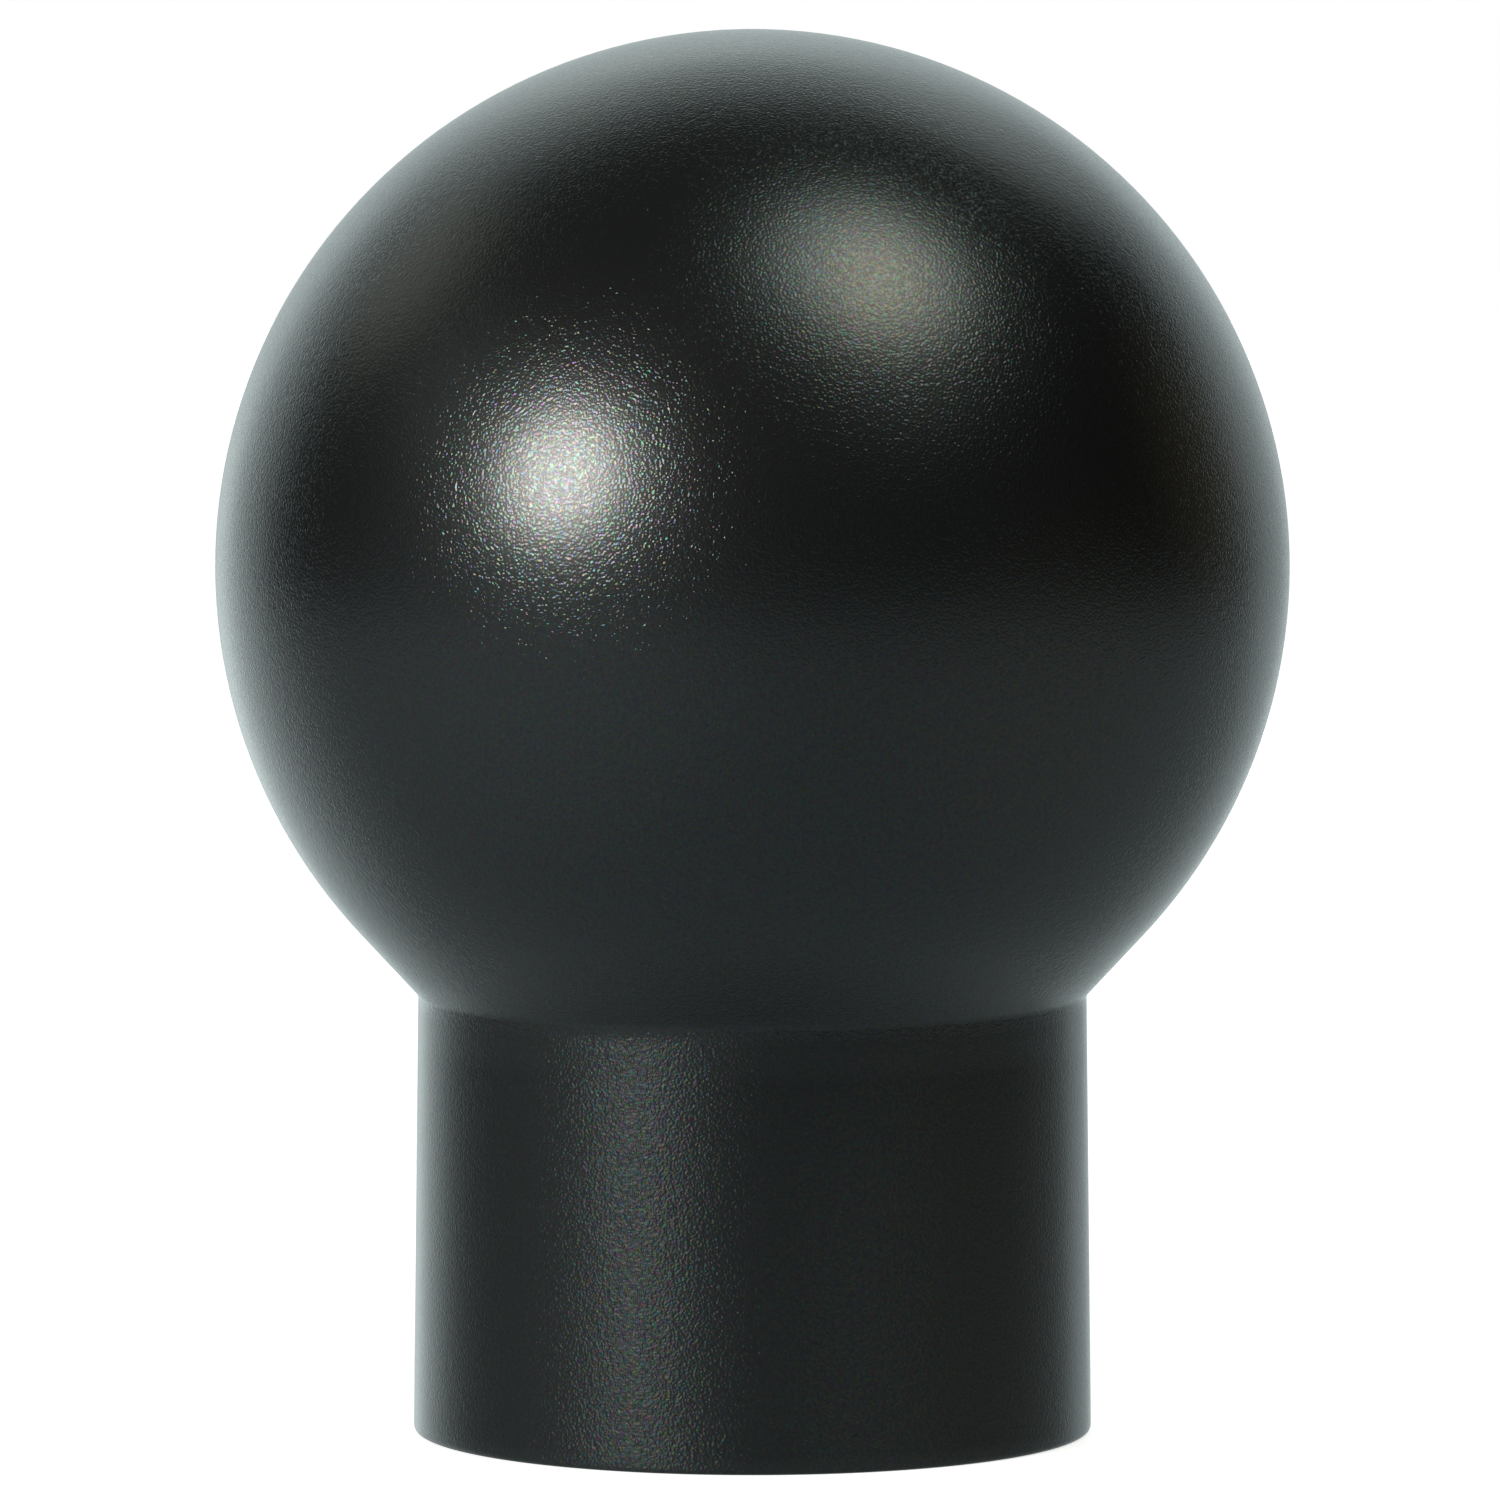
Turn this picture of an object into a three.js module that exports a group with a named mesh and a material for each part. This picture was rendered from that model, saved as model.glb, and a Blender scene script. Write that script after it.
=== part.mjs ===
// Ball finial for the end of a curtain pole: a ball on a short collar, turned in one piece
// with it. The collar is a blind socket that slips over the pole until the pole's end meets
// the seat inside. Sizes are in millimetres and +Z is up. The origin is the centre of the
// collar's mouth, on whose rim the finial stands.
import * as THREE from "three";

// Driving dimensions of the ball and the collar
const BALL_DIAMETER = 50;
const STRAIGHT_UNDERSIDE = 4; // the last stretch of the ball's underside, down to the crease
const POLE_DIAMETER = 28; // the pole that goes into the collar
const POLE_CLEARANCE = 0.2; // room all round the pole, between it and the bore
const COLLAR_WALL = 1.4; // at the crease, where the wall is thinnest
const COLLAR_HEIGHT = 20.5; // from the mouth up to the crease
const COLLAR_FLARE = 0.25; // how much further out the collar stands at the mouth than at the crease
const SOCKET_DEPTH = 20; // from the mouth up to the seat

// Edges
const CREASE_FILLET = 0.4; // radius in the crease, where the ball meets the collar
const MOUTH_ROUND = 0.3; // radius on the outer edge of the mouth
const MOUTH_CHAMFER = 0.4; // lead-in on the inner edge of the mouth

// How finely the round forms are divided
const SEGMENTS_ROUND = 96;
const STEPS_ON_BALL = 28;
const STEPS_ON_EDGE = 4;

const COATING = new THREE.MeshStandardMaterial({
  color: 0x1c1f20,
  roughness: 0.45,
  metalness: 0.0,
});

// A point of the outline: its distance from the axis, and its height.
function point(radius, height) {
  return new THREE.Vector2(radius, height);
}

// The points of an arc, both ends included. Angles are counted from straight out, upwards.
function arc(centre, radius, fromAngle, toAngle, steps) {
  return Array.from({ length: steps + 1 }, (_, i) => {
    const angle = THREE.MathUtils.lerp(fromAngle, toAngle, i / steps);
    return point(
      centre.x + radius * Math.cos(angle),
      centre.y + radius * Math.sin(angle),
    );
  });
}

// The outside of the collar is a straight line through the crease, leaning in by the flare.
function collarSide(creaseRadius) {
  const lean = Math.atan2(COLLAR_FLARE, COLLAR_HEIGHT);
  return {
    lean,
    crease: point(creaseRadius, COLLAR_HEIGHT),
    upward: point(-Math.sin(lean), Math.cos(lean)),
  };
}

// The rounded outer edge of the mouth: from the flat rim to the side of the collar.
function mouthEdge(side) {
  const fromCrease =
    -MOUTH_ROUND + (COLLAR_HEIGHT - MOUTH_ROUND) * Math.sin(side.lean);
  const centre = point(
    side.crease.x + fromCrease / Math.cos(side.lean),
    MOUTH_ROUND,
  );
  return arc(centre, MOUTH_ROUND, -Math.PI / 2, side.lean, STEPS_ON_EDGE);
}

// The ball's underside is a straight line that leaves the round of the ball as its tangent
// and ends in the crease. So the crease lies a little outside the full ball, and its distance
// from the centre follows from the ball's radius and the length of that line.
function makeBall(creaseRadius) {
  const radius = BALL_DIAMETER / 2;
  const creaseDistance = Math.hypot(radius, STRAIGHT_UNDERSIDE);
  const creaseDrop = Math.sqrt(creaseDistance ** 2 - creaseRadius ** 2);
  const creaseAngle = Math.atan2(creaseDrop, creaseRadius);
  return {
    radius,
    centre: point(0, COLLAR_HEIGHT + creaseDrop),
    roundStart: Math.atan2(STRAIGHT_UNDERSIDE, radius) - creaseAngle,
  };
}

// The fillet in the crease: from the side of the collar to the straight underside.
function creaseFillet(side, roundStart) {
  const alongUnderside = point(-Math.sin(roundStart), Math.cos(roundStart));
  const downSide = side.upward.clone().negate();
  const halfAngle = alongUnderside.angleTo(downSide) / 2;
  const middle = alongUnderside.clone().add(downSide).normalize();
  const centre = side.crease
    .clone()
    .addScaledVector(middle, CREASE_FILLET / Math.sin(halfAngle));
  return arc(
    centre,
    CREASE_FILLET,
    Math.PI + side.lean,
    Math.PI + roundStart,
    STEPS_ON_EDGE,
  );
}

// The outline of the whole finial, from the middle of the seat to the top of the ball.
function finialOutline() {
  const boreRadius = POLE_DIAMETER / 2 + POLE_CLEARANCE;
  const creaseRadius = boreRadius + COLLAR_WALL;
  const side = collarSide(creaseRadius);
  const ball = makeBall(creaseRadius);

  const socket = [
    point(0, SOCKET_DEPTH),
    point(boreRadius, SOCKET_DEPTH),
    point(boreRadius, MOUTH_CHAMFER),
    point(boreRadius + MOUTH_CHAMFER, 0),
  ];
  const crease = creaseFillet(side, ball.roundStart);
  const round = arc(
    ball.centre,
    ball.radius,
    ball.roundStart,
    Math.PI / 2,
    STEPS_ON_BALL,
  );
  const top = point(0, ball.centre.y + ball.radius);
  return [...socket, ...mouthEdge(side), ...crease, ...round.slice(0, -1), top];
}

function makeFinial() {
  const geometry = new THREE.LatheGeometry(finialOutline(), SEGMENTS_ROUND);
  geometry.rotateX(Math.PI / 2);
  const mesh = new THREE.Mesh(geometry, COATING);
  mesh.name = "ball_and_collar";
  return mesh;
}

const finial = new THREE.Group();
finial.name = "curtain_finial";
finial.add(makeFinial());

export default finial;
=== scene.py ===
# %% [markdown]
# # A black ball finial
#
# A finial closes the end of a curtain pole. This one is a ball on a short collar, turned in
# one piece and coated with satin black powder paint. Its CAD model is loaded first, as a
# fixed frame that says how large the piece is and where it stands. Lengths are in metres,
# and +Z is up.

import math

import bpy
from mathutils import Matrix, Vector


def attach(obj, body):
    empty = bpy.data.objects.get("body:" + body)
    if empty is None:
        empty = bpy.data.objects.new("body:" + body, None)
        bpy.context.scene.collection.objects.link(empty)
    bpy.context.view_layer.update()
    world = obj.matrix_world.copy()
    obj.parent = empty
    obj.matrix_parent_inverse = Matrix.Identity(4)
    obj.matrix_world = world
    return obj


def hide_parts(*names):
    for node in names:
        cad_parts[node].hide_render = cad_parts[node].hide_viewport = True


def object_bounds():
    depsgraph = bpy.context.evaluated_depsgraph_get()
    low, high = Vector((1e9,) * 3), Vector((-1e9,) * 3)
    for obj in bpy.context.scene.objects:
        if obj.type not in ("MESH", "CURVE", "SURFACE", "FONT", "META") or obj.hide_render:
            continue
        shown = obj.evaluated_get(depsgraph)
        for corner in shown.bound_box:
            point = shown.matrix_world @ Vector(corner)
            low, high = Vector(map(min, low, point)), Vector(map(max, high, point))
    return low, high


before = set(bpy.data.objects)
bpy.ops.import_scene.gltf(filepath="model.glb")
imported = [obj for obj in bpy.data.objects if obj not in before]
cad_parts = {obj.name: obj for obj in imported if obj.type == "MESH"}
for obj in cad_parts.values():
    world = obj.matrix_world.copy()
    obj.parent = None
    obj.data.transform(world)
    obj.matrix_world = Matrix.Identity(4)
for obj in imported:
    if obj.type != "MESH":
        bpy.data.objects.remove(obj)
cad_low, cad_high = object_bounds()
print("CAD box in mm:", [round(1000 * side, 2) for side in cad_high - cad_low])

# %% [markdown]
# ## Sizes
#
# The ball's diameter and the whole height come from the frame. The other sizes are those
# that a turner would be given. The crease is the ring where the ball meets the collar. The
# ball isn't round all the way down to it: the last stretch of its underside is straight, a
# tangent that leaves the round and ends in the crease. The crease's radius follows from
# that, because a tangent, a radius and the line to the crease make a right triangle.

# %% Sizes of the ball and the collar
MM = 0.001
ball_radius = (cad_high.x - cad_low.x) / 2
ball_centre = Vector((0, 0, cad_high.z - ball_radius))
crease_height = 20.5 * MM
straight_underside = 4 * MM
crease_drop = ball_centre.z - crease_height
crease_radius = math.sqrt(ball_radius**2 + straight_underside**2 - crease_drop**2)
flare = 0.25 * MM
mouth_radius = crease_radius + flare
bore_radius = 14.2 * MM
socket_depth = 20 * MM
mouth_chamfer = 0.4 * MM
print(f"crease radius {crease_radius / MM:.2f} mm, ball centre {ball_centre.z / MM:.2f} mm up")

# %% Where the round of the ball ends
underside_angle = math.atan2(straight_underside, ball_radius)
round_end_angle = math.atan2(crease_drop, crease_radius) - underside_angle
round_end_height = ball_centre.z - ball_radius * math.sin(round_end_angle)
round_end_radius = ball_radius * math.cos(round_end_angle)
print(f"the round ends {math.degrees(round_end_angle):.1f} degrees below the ball's middle")

# %% [markdown]
# ## Selecting by place
#
# Blender's operators act on all that is selected. So each step starts by selecting only the
# edges that it is about, by where they lie. On a turned form they lie on rings, and a ring
# is known by its height and its distance from the axis.

# %% Selecting rings of edges
NEAR = 0.01 * MM


def ring(height, radius):
    """A test for points on the ring at this height and distance from the axis."""
    def on_it(point):
        away = math.hypot(point.x, point.y)
        return abs(point.z - height) < NEAR and abs(away - radius) < NEAR
    return on_it


def select_edges(piece, starts, ends=None):
    """Selects the edges that run from a point in starts to one in ends, in edit mode."""
    ends = ends or starts
    bpy.ops.object.mode_set(mode="EDIT")
    bpy.ops.mesh.select_mode(type="EDGE")
    bpy.ops.mesh.select_all(action="DESELECT")
    bpy.ops.object.mode_set(mode="OBJECT")
    points = piece.data.vertices
    for edge in piece.data.edges:
        a, b = (points[i].co for i in edge.vertices)
        edge.select = (starts(a) and ends(b)) or (starts(b) and ends(a))
    chosen = sum(edge.select for edge in piece.data.edges)
    bpy.ops.object.mode_set(mode="EDIT")
    return chosen


print(f"a point is on a ring when it lies within {NEAR / MM:.2f} mm of it")

# %% [markdown]
# ## The ball
#
# The ball is a UV sphere, whose rings run round the axis on which the piece was turned. A
# bisect cuts its bottom off where the round ends, and leaves an open ring, from which the
# straight underside and the collar grow. Spinning an outline would give the same form, but a
# sphere starts with rings that are evenly spaced from pole to pole.

# %% The ball, cut open below
SEGMENTS = 192
RINGS = 96

bpy.ops.object.select_all(action="DESELECT")
bpy.ops.mesh.primitive_uv_sphere_add(
    segments=SEGMENTS, ring_count=RINGS, radius=ball_radius, location=ball_centre
)
finial = bpy.context.active_object
finial.name = "finial"
bpy.ops.object.transform_apply(location=True, rotation=True, scale=True)

bpy.ops.object.mode_set(mode="EDIT")
bpy.ops.mesh.select_all(action="SELECT")
bpy.ops.mesh.bisect(
    plane_co=(0, 0, round_end_height),
    plane_no=(0, 0, 1),
    clear_inner=True,
    threshold=0.1 * NEAR,
)
round_end = ring(round_end_height, round_end_radius)
print("edges round the opening:", select_edges(finial, round_end))

# %% [markdown]
# ## The underside and the collar
#
# The open ring is extruded twice: in to the crease, and down to the mouth, where it is a
# quarter of a millimetre wider, because the real collar flares slightly. The long faces are
# then cut across, so that they are about as tall as they are wide. Square faces shade evenly
# and take fine relief better than long strips.

# %% The underside and the collar, drawn from the open ring
def extrude_ring(drop, radius_from, radius_to):
    """Extrudes the selected ring down by drop, and changes its radius."""
    bpy.ops.mesh.extrude_region_move(TRANSFORM_OT_translate={"value": (0, 0, -drop)})
    share = radius_to / radius_from
    bpy.ops.transform.resize(value=(share, share, 1), center_override=(0, 0, 0))


extrude_ring(round_end_height - crease_height, round_end_radius, crease_radius)
extrude_ring(crease_height, crease_radius, mouth_radius)
crease = ring(crease_height, crease_radius)
mouth = ring(0, mouth_radius)

UNDERSIDE_CUTS = 4
COLLAR_CUTS = 23
slanting = select_edges(finial, round_end, crease)
bpy.ops.mesh.subdivide(number_cuts=UNDERSIDE_CUTS)
upright = select_edges(finial, crease, mouth)
bpy.ops.mesh.subdivide(number_cuts=COLLAR_CUTS)
print("edges cut across:", slanting, "under the ball and", upright, "on the collar")

# %% [markdown]
# ## The mouth and the socket
#
# A pole of 28 mm slips into the collar. From the outer edge of the mouth the surface turns
# in over a flat rim, then over a small chamfer that leads the pole in, up the bore and
# across the seat, where the pole stops. Each of these is one more extrude of the same
# ring. At the end the last ring is merged into one point, which closes the seat.

# %% The rim, the chamfer, the bore and the seat
SEAT_RINGS = 6

rim_radius = bore_radius + mouth_chamfer
select_edges(finial, mouth)
extrude_ring(0, mouth_radius, rim_radius)
extrude_ring(-mouth_chamfer, rim_radius, bore_radius)
extrude_ring(mouth_chamfer - socket_depth, bore_radius, bore_radius)
for i in range(SEAT_RINGS, 1, -1):
    extrude_ring(0, bore_radius * i / SEAT_RINGS, bore_radius * (i - 1) / SEAT_RINGS)
bpy.ops.mesh.extrude_region_move(TRANSFORM_OT_translate={"value": (0, 0, 0)})
bpy.ops.mesh.merge(type="CENTER")

bore_wall = select_edges(
    finial, ring(mouth_chamfer, bore_radius), ring(socket_depth, bore_radius)
)
bpy.ops.mesh.subdivide(number_cuts=COLLAR_CUTS)
print("edges of the bore cut across:", bore_wall)

# %% [markdown]
# ## The soft edges
#
# Paint never leaves a sharp corner. The crease is filled by a small fillet, and the outer
# edge of the mouth is rounded. Both are bevels of one ring of edges. The bevel is given the
# distance from the corner to where the round begins, and for a round of a given radius
# that follows from the angle between the two surfaces.

# %% Fillet in the crease, and a rounded mouth
CREASE_FILLET = 0.4 * MM
MOUTH_ROUND = 0.3 * MM
STEPS_ON_EDGE = 5


def round_ring(test, radius, angle_between):
    """Rounds the ring where two surfaces meet at an angle, to a radius."""
    select_edges(finial, test)
    setback = radius / math.tan(angle_between / 2)
    bpy.ops.mesh.bevel(offset=setback, segments=STEPS_ON_EDGE, affect="EDGES")
    print(f"a round of {radius / MM:.1f} mm begins {setback / MM:.2f} mm from its corner")


flare_angle = math.atan2(mouth_radius - crease_radius, crease_height)
round_ring(crease, CREASE_FILLET, math.pi - round_end_angle - flare_angle)
round_ring(mouth, MOUTH_ROUND, math.pi / 2 + flare_angle)

# %% [markdown]
# ## One closed skin, shaded smooth
#
# All faces are turned outwards. Shading by angle then hides the facets of the round forms
# and keeps the edges of the chamfer and the seat crisp, because the faces there meet at
# more than 30 degrees.

# %% Faces outwards, smooth shading, and the piece's place in the frame
CRISP_EDGE = math.radians(30)

bpy.ops.mesh.select_all(action="SELECT")
bpy.ops.mesh.normals_make_consistent(inside=False)
bpy.ops.object.mode_set(mode="OBJECT")
bpy.ops.object.shade_smooth_by_angle(angle=CRISP_EDGE)
print("faces of the finial:", len(finial.data.polygons))

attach(finial, "root")
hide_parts("ball_and_collar")

# %% [markdown]
# ## The powder coat
#
# Powder paint is baked on as a melted skin. Seen close it is grainy, with grains of about a
# tenth of a millimetre on a broader relief like orange peel, and a smooth clear skin lies
# over them. Each grain catches the lamp on its own, so the highlight is made of glints, some
# with a trace of colour. The clear skin keeps the pale rims soft and even. In Blender the
# skin is the coat of one Principled BSDF, and the grain is relief on the layer under it.
# All patterns lie on Object coordinates, so they stay on the surface from every side.

# %% Nodes that the patterns are made of
def vector_maths(nodes, links, operation, *values):
    """A vector maths node whose inputs are filled in turn, by a link or by a fixed value."""
    node = nodes.new("ShaderNodeVectorMath")
    node.operation = operation
    for socket, value in zip(node.inputs, values):
        if isinstance(value, bpy.types.NodeSocket):
            links.new(value, socket)
        else:
            socket.default_value = value
    return node


def noise(nodes, links, coordinates, size, detail, name):
    """A noise texture whose lumps are about as large as size, in metres."""
    texture = nodes.new("ShaderNodeTexNoise")
    texture.name = name
    texture.inputs["Scale"].default_value = 1 / size
    texture.inputs["Detail"].default_value = detail
    links.new(coordinates, texture.inputs["Vector"])
    return texture


def bump(nodes, links, height, depth, name, normal=None, strength=None):
    """Relief of this depth, in metres, on top of a normal. A strength of 0 hides it."""
    node = nodes.new("ShaderNodeBump")
    node.name = name
    node.inputs["Strength"].default_value = 1
    node.inputs["Distance"].default_value = depth
    links.new(height, node.inputs["Height"])
    if normal:
        links.new(normal, node.inputs["Normal"])
    if strength:
        links.new(strength, node.inputs["Strength"])
    return node.outputs["Normal"]


# %% [markdown]
# ### What differs between ball and collar
#
# The ball and the collar share one skin, so their differences are drawn by height. Each one
# changes softly just under the crease. Some patterns are also drawn out level, like the
# marks that a lathe leaves.

# %% Patterns by height, and patterns drawn out level
def by_height(nodes, links, coordinates, fade, above, below, name):
    """One value above the crease and another below it. The change lies in the fade under it."""
    split = nodes.new("ShaderNodeSeparateXYZ")
    links.new(coordinates, split.inputs["Vector"])
    step = nodes.new("ShaderNodeMapRange")
    step.name = name
    step.interpolation_type = "SMOOTHSTEP"
    step.inputs["From Min"].default_value = crease_height
    step.inputs["From Max"].default_value = crease_height - fade
    step.inputs["To Min"].default_value = above
    step.inputs["To Max"].default_value = below
    links.new(split.outputs["Z"], step.inputs["Value"])
    return step.outputs["Result"]


def drawn_out(nodes, links, coordinates, stretch):
    """Coordinates in which a pattern is this many times as long, level, as it is high."""
    squeeze = (1 / stretch, 1 / stretch, 1)
    return vector_maths(nodes, links, "MULTIPLY", coordinates, squeeze).outputs["Vector"]


SOFT_CHANGE = 1 * MM
print(f"the looks change over the {SOFT_CHANGE / MM:.0f} mm under the crease")

# %% [markdown]
# ### The relief of the paint
#
# Four reliefs lie on top of each other. Pooled paint fills the crease and thins out down the
# collar. Peel is the broad wave of a melted skin. Marks of turning run round the collar
# alone. The grain is the steepest, and makes the glints. The clear skin over them follows
# the pooled paint only.

# %% Pooled paint, peel, marks and grain
POOLED_DEPTH = 0.08 * MM
POOLED_FADE = 2.6 * MM
PEEL_SIZE = 0.3 * MM
PEEL_DEPTH = 0.018 * MM
PEEL_DETAIL = 2
PEEL_STRETCH = 1.8
MARKS_SIZE = 0.09 * MM
MARKS_DEPTH = 0.012 * MM
MARKS_DETAIL = 0
MARKS_STRETCH = 2.5
GRAIN_SIZE = 0.12 * MM
GRAIN_DEPTH = 0.0355 * MM
GRAIN_DETAIL = 0.3


def paint_relief(nodes, links, place):
    """The normals of the clear skin and of the grainy paint under it."""
    peel_place = drawn_out(nodes, links, place, PEEL_STRETCH)
    marks_place = drawn_out(nodes, links, place, MARKS_STRETCH)
    pooled = by_height(nodes, links, place, POOLED_FADE, 1, 0, "pooled_paint")
    on_collar = by_height(nodes, links, place, SOFT_CHANGE, 0, 1, "on_collar")
    peel = noise(nodes, links, peel_place, PEEL_SIZE, PEEL_DETAIL, "orange_peel")
    marks = noise(nodes, links, marks_place, MARKS_SIZE, MARKS_DETAIL, "marks")
    grain = noise(nodes, links, place, GRAIN_SIZE, GRAIN_DETAIL, "grain")
    peel, marks, grain = (pattern.outputs["Fac"] for pattern in (peel, marks, grain))
    skin = bump(nodes, links, pooled, POOLED_DEPTH, "build_up")
    paint = bump(nodes, links, peel, PEEL_DEPTH, "peel_relief", skin)
    paint = bump(nodes, links, marks, MARKS_DEPTH, "marks_relief", paint, on_collar)
    paint = bump(nodes, links, grain, GRAIN_DEPTH, "grain_relief", paint)
    return skin, paint


print(f"grain {GRAIN_SIZE / MM:.2f} mm wide and {GRAIN_DEPTH / MM:.4f} mm deep")

# %% [markdown]
# ### The colour and the sheen
#
# The paint is a very dark grey with a trace of green and blue. On the ball it is glossy
# under its grain. On the collar it is duller, and its sheen is drawn upright by anisotropy
# along an upright tangent, which narrows the lamp to a streak. A coarser noise in colour
# tints what the grains mirror.

# %% Black powder coat
PAINT_COLOUR = (0.0120, 0.0133, 0.0140, 1)
LACQUER_IOR = 1.5
SKIN_ROUGHNESS = 0.27
BALL_ROUGHNESS = 0.18
COLLAR_ROUGHNESS = 0.40
COLLAR_ANISOTROPY = 0.9
HUES_SIZE = 0.16 * MM
HUES_CONTRAST = (1.6, 1.6, 1.6)
HUES_SHIFT = (-0.10, 0.08, 0.12)


def sheen(nodes, links, place, shader):
    """Roughness and anisotropy for ball and collar, and the upright tangent."""
    differences = (
        ("Roughness", BALL_ROUGHNESS, COLLAR_ROUGHNESS),
        ("Anisotropic", 0, COLLAR_ANISOTROPY),
    )
    for socket, on_ball, on_collar in differences:
        value = by_height(nodes, links, place, SOFT_CHANGE, on_ball, on_collar, socket)
        links.new(value, shader.inputs[socket])
    upright = nodes.new("ShaderNodeCombineXYZ")
    upright.inputs["Z"].default_value = 1
    links.new(upright.outputs["Vector"], shader.inputs["Tangent"])


def powder_coat():
    material = bpy.data.materials.new("black_powder_coat")
    material.use_nodes = True
    nodes, links = material.node_tree.nodes, material.node_tree.links
    shader = nodes["Principled BSDF"]
    shader.inputs["Base Color"].default_value = PAINT_COLOUR
    shader.inputs["IOR"].default_value = LACQUER_IOR
    shader.inputs["Coat Weight"].default_value = 1
    shader.inputs["Coat IOR"].default_value = LACQUER_IOR
    shader.inputs["Coat Roughness"].default_value = SKIN_ROUGHNESS
    place = nodes.new("ShaderNodeTexCoord").outputs["Object"]
    skin, paint = paint_relief(nodes, links, place)
    links.new(skin, shader.inputs["Coat Normal"])
    links.new(paint, shader.inputs["Normal"])
    sheen(nodes, links, place, shader)
    hues = noise(nodes, links, place, HUES_SIZE, 0, "hues").outputs["Color"]
    tint = vector_maths(nodes, links, "MULTIPLY", hues, HUES_CONTRAST).outputs["Vector"]
    tint = vector_maths(nodes, links, "ADD", tint, HUES_SHIFT).outputs["Vector"]
    links.new(tint, shader.inputs["Specular Tint"])
    return material


finial.data.materials.append(powder_coat())
print("the finial's material:", finial.data.materials[0].name)

# %% [markdown]
# ## The studio
#
# The piece stands on a white sweep. What shows on black paint is almost only what it
# mirrors, so the room is drawn as soft round patches of light on the world. The wall behind
# shows as pale rims, because paint at a grazing angle mirrors nearly all the light. The
# table below lifts the lower half of the ball to dark grey. The room towards the camera is
# dark, so the middle of the ball stays black. A large softbox hangs high on the right, with
# two warmer bulbs in it. A window and the side walls give the faint greys on the left.

# %% Directions in the room
def direction(azimuth, elevation):
    """A direction away from the piece. Azimuth 0 is behind it, and 90 is to its right."""
    a, e = math.radians(azimuth), math.radians(elevation)
    return Vector((math.sin(a) * math.cos(e), math.cos(a) * math.cos(e), math.sin(e)))


print("straight up is", tuple(round(part) for part in direction(0, 90)))

# %% The patches of light that the paint mirrors
COOL = (0.91, 1.04, 1.05)
GREENISH = (0.94, 1.06, 1.00)
WARM = (1.05, 1.05, 0.90)
AMBER = (1.35, 1.04, 0.61)

# name: azimuth, elevation, angle to the end of its full part, angle to its edge, radiance, tint
PATCHES = {
    "wall_behind": (-4, 11, 24, 32, 0.41, COOL),
    "wall_all_round_it": (-4, 11, 42, 54, 0.21, COOL),
    "wall_left": (-36, 8, 1, 22, 0.25, COOL),
    "wall_lower_left": (-22, -6, 4, 13, 0.25, GREENISH),
    "wall_low_left": (-28, -12, 1, 16, 0.095, COOL),
    "wall_right": (36, 8, 1, 22, 0.21, COOL),
    "wall_far_right": (62, 10, 1, 22, 0.05, AMBER),
    "wall_above": (0, 40, 1, 22, 0.19, GREENISH),
    "wall_above_left": (-30, 42, 1, 18, 0.21, GREENISH),
    "wall_above_middle": (-8, 27, 2, 14, 0.07, WARM),
    "wall_above_right": (30, 40, 1, 16, 0.26, GREENISH),
    "side_wall_left": (-99, 31, 1, 18, 0.16, GREENISH),
    "table": (0, -90, 81, 87, 0.205, COOL),
    "table_left": (-131, -10, 1, 54, 0.097, COOL),
    "table_right": (110, -20, 1, 40, 0.038, AMBER),
    "table_behind_left": (-45, -19, 3, 22, 0.175, COOL),
    "window": (-61, 36, 1, 17, 0.405, WARM),
    "softbox": (125.5, 64.2, 12, 20.5, 2.1, GREENISH),
    "softbox_lower_bulb": (130, 59, 2, 12, 1.7, AMBER),
    "softbox_upper_bulb": (120, 66, 1, 9, 1.5, AMBER),
    "under_softbox": (138, 42, 1, 18, 0.16, GREENISH),
}
print("patches of light in the room:", len(PATCHES))

# %% One patch of light, as nodes
def patch_of_light(nodes, links, way, name, patch):
    """A round patch on the world, as a colour that is black outside its edge."""
    azimuth, elevation, full, edge, radiance, tint = patch
    towards = vector_maths(nodes, links, "DOT_PRODUCT", way, direction(azimuth, elevation))
    fade = nodes.new("ShaderNodeMapRange")
    fade.name = name
    fade.interpolation_type = "SMOOTHSTEP"
    fade.inputs["From Min"].default_value = math.cos(math.radians(edge))
    fade.inputs["From Max"].default_value = math.cos(math.radians(full))
    fade.inputs["To Max"].default_value = radiance
    links.new(towards.outputs["Value"], fade.inputs["Value"])
    tinted = vector_maths(nodes, links, "SCALE", tint)
    links.new(fade.outputs["Result"], tinted.inputs["Scale"])
    return tinted.outputs["Vector"]


# %% [markdown]
# ## The world
#
# The patches are added up to one background, which the paint mirrors. The camera itself
# sees another one, plain white, as behind a cut-out in a catalogue. Light Path tells the
# two apart.

# %% The world, which the camera itself sees as plain white
WHITE = (1, 1, 1, 1)


def room_light():
    """Makes the world from the sum of all patches, and plain white for the camera."""
    world = bpy.data.worlds.new("studio")
    bpy.context.scene.world = world
    world.use_nodes = True
    nodes, links = world.node_tree.nodes, world.node_tree.links
    nodes.clear()
    way = nodes.new("ShaderNodeTexCoord").outputs["Generated"]
    total = (0, 0, 0)
    for name, patch in PATCHES.items():
        light = patch_of_light(nodes, links, way, name, patch)
        total = vector_maths(nodes, links, "ADD", total, light).outputs["Vector"]
    mirrored = nodes.new("ShaderNodeBackground")
    links.new(total, mirrored.inputs["Color"])
    seen = nodes.new("ShaderNodeBackground")
    seen.inputs["Color"].default_value = WHITE
    either = nodes.new("ShaderNodeMixShader")
    links.new(nodes.new("ShaderNodeLightPath").outputs["Is Camera Ray"], either.inputs["Fac"])
    links.new(mirrored.outputs["Background"], either.inputs[1])
    links.new(seen.outputs["Background"], either.inputs[2])
    links.new(either.outputs["Shader"], nodes.new("ShaderNodeOutputWorld").inputs["Surface"])


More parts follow.
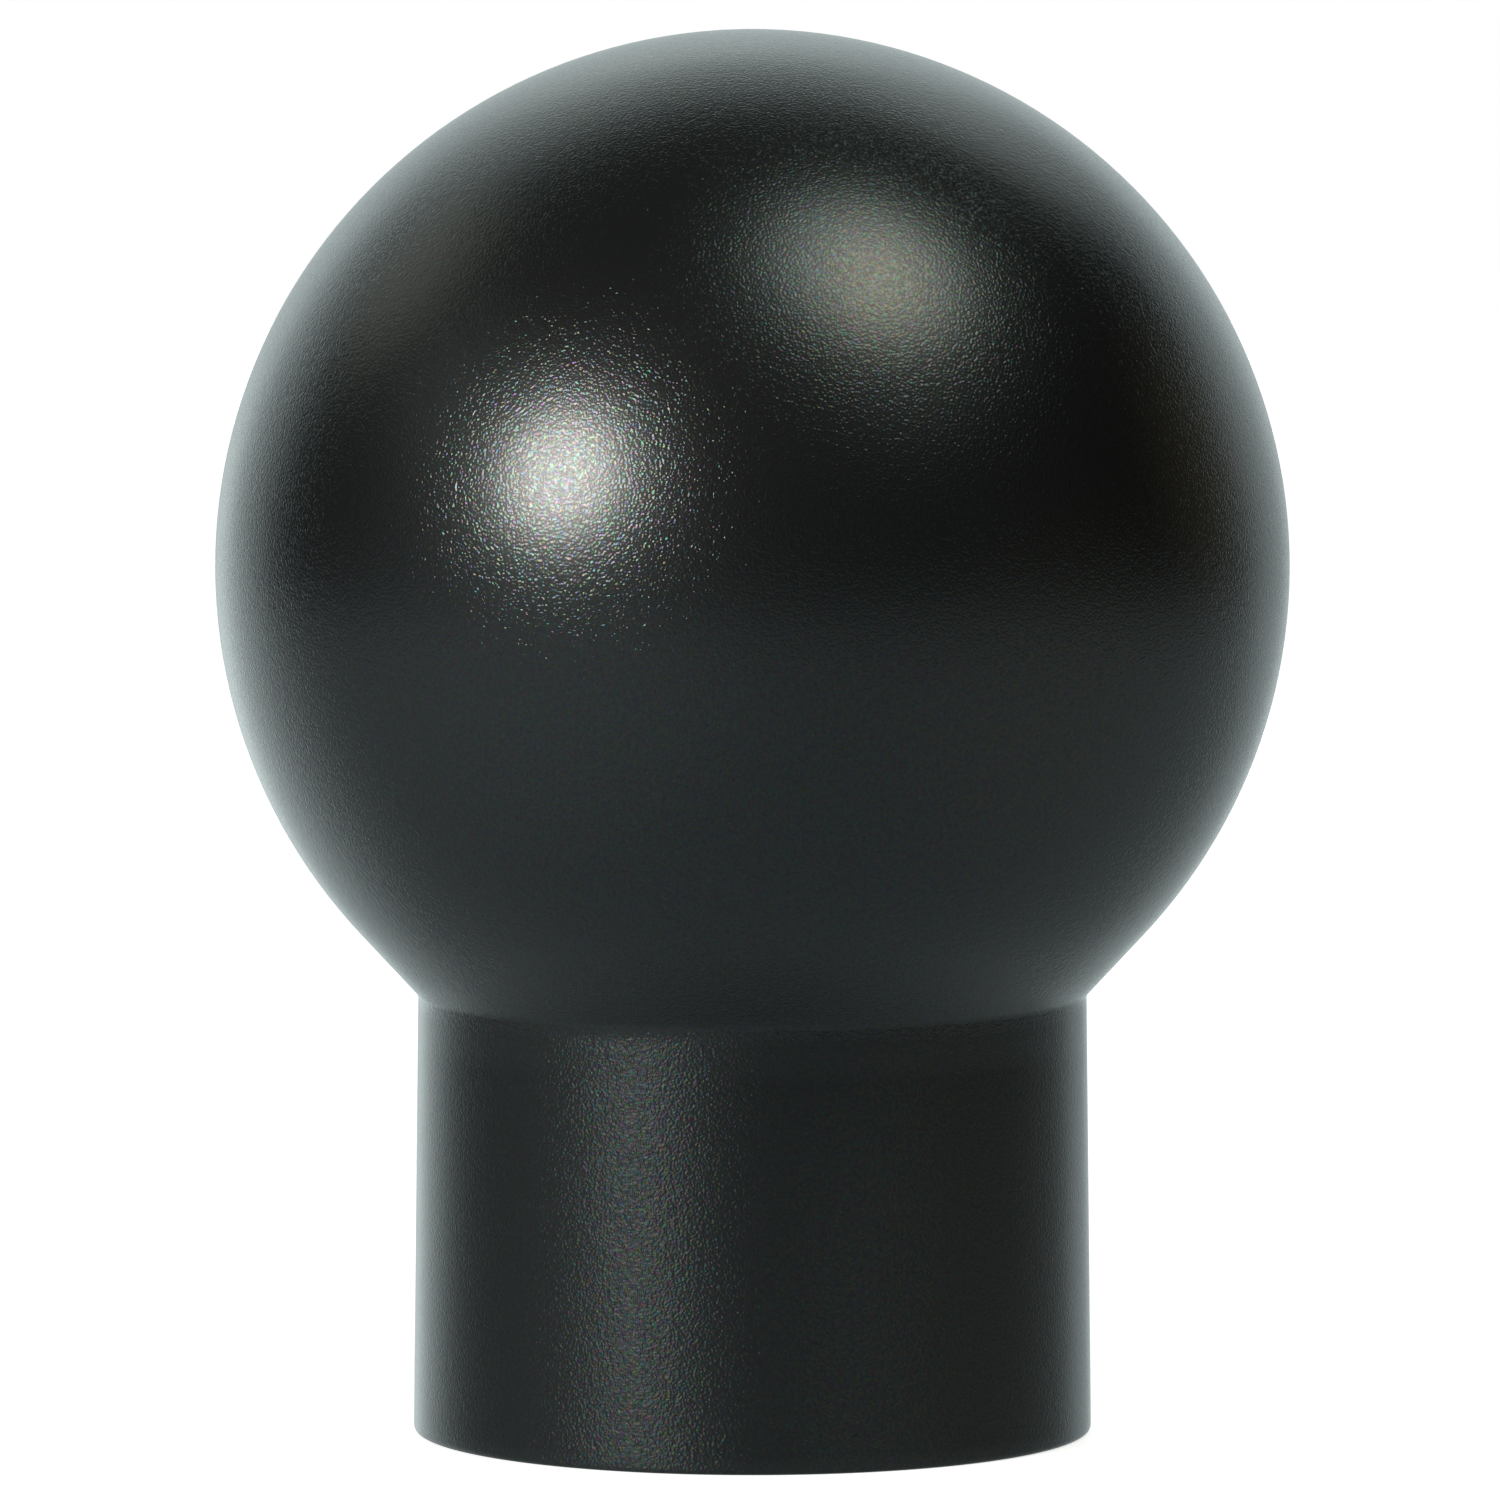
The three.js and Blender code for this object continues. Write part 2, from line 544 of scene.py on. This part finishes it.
room_light()
print("the world of the scene:", bpy.context.scene.world.name)

# %% [markdown]
# ## The floor and the lamp
#
# The floor glows by itself, nearly up to white, so only a trace of the piece's own shadow is
# left on it. It is hidden from mirroring, because the table's patches already stand for it.
# A bright round lamp stands in front of the piece, to its left and a little higher. It makes
# the glittering highlight on the ball and the streak down the collar.

# %% The white floor
FLOOR_RADIUS = 1000 * MM
FLOOR_SIDES = 96
FLOOR_GLOW = 0.75
PAPER_COLOUR = (0.9, 0.9, 0.9, 1)

bpy.ops.object.select_all(action="DESELECT")
bpy.ops.mesh.primitive_circle_add(
    vertices=FLOOR_SIDES, radius=FLOOR_RADIUS, fill_type="NGON"
)
floor = bpy.context.active_object
floor.name = "floor"
paper = bpy.data.materials.new("white_paper")
paper.use_nodes = True
paper_shader = paper.node_tree.nodes["Principled BSDF"]
paper_shader.inputs["Base Color"].default_value = PAPER_COLOUR
paper_shader.inputs["Emission Color"].default_value = WHITE
paper_shader.inputs["Emission Strength"].default_value = FLOOR_GLOW
floor.data.materials.append(paper)
floor.visible_glossy = False
floor.visible_diffuse = False
floor.visible_shadow = False
print(f"the floor reaches {FLOOR_RADIUS / MM:.0f} mm out")

# %% The round lamp
LAMP_AZIMUTH = -138.3
LAMP_ELEVATION = 20.8
LAMP_DISTANCE = 330 * MM
LAMP_DIAMETER = 128 * MM
LAMP_RADIANCE = 14.9
LAMP_COLOUR = (1.08, 1.03, 0.95)

lamp_data = bpy.data.lights.new("round_lamp", "AREA")
lamp_data.shape = "DISK"
lamp_data.size = LAMP_DIAMETER
lamp_area = math.pi * (LAMP_DIAMETER / 2) ** 2
lamp_data.energy = LAMP_RADIANCE * math.pi * lamp_area
lamp_data.color = LAMP_COLOUR
lamp = bpy.data.objects.new("round_lamp", lamp_data)
bpy.context.scene.collection.objects.link(lamp)
lamp_way = direction(LAMP_AZIMUTH, LAMP_ELEVATION)
lamp.location = ball_centre + lamp_way * LAMP_DISTANCE
lamp.rotation_euler = lamp_way.to_track_quat("Z", "Y").to_euler()
lamp.visible_camera = False
print(f"the lamp gives {lamp_data.energy:.2f} W and is {LAMP_DIAMETER / MM:.0f} mm across")

# %% [markdown]
# ## The camera
#
# A long lens at 0.6 m looks slightly down on the ball. From there the crease and the mouth
# show as shallow arcs, and both sides of the collar keep their own flare. Lens and sensor
# are given in millimetres, as on a camera, and the pitch in radians.

# %% Camera
LENS = 310.06
SENSOR_WIDTH = 36
DISTANCE = 600 * MM
HEIGHT_ABOVE_BALL = 42.8 * MM
SIDEWAYS = -0.113 * MM
PITCH_DOWN = 0.0854
SEES_AS_FAR_AS = 10

camera_data = bpy.data.cameras.new("camera")
camera = bpy.data.objects.new("camera", camera_data)
bpy.context.scene.collection.objects.link(camera)
bpy.context.scene.camera = camera
camera_data.lens = LENS
camera_data.sensor_width = SENSOR_WIDTH
camera_data.clip_end = SEES_AS_FAR_AS
camera.location = (SIDEWAYS, -DISTANCE, ball_centre.z + HEIGHT_ABOVE_BALL)
camera.rotation_euler = (math.pi / 2 - PITCH_DOWN, 0, 0)
bpy.context.scene.view_settings.view_transform = "Standard"
print(f"the camera looks {math.degrees(PITCH_DOWN):.1f} degrees down")
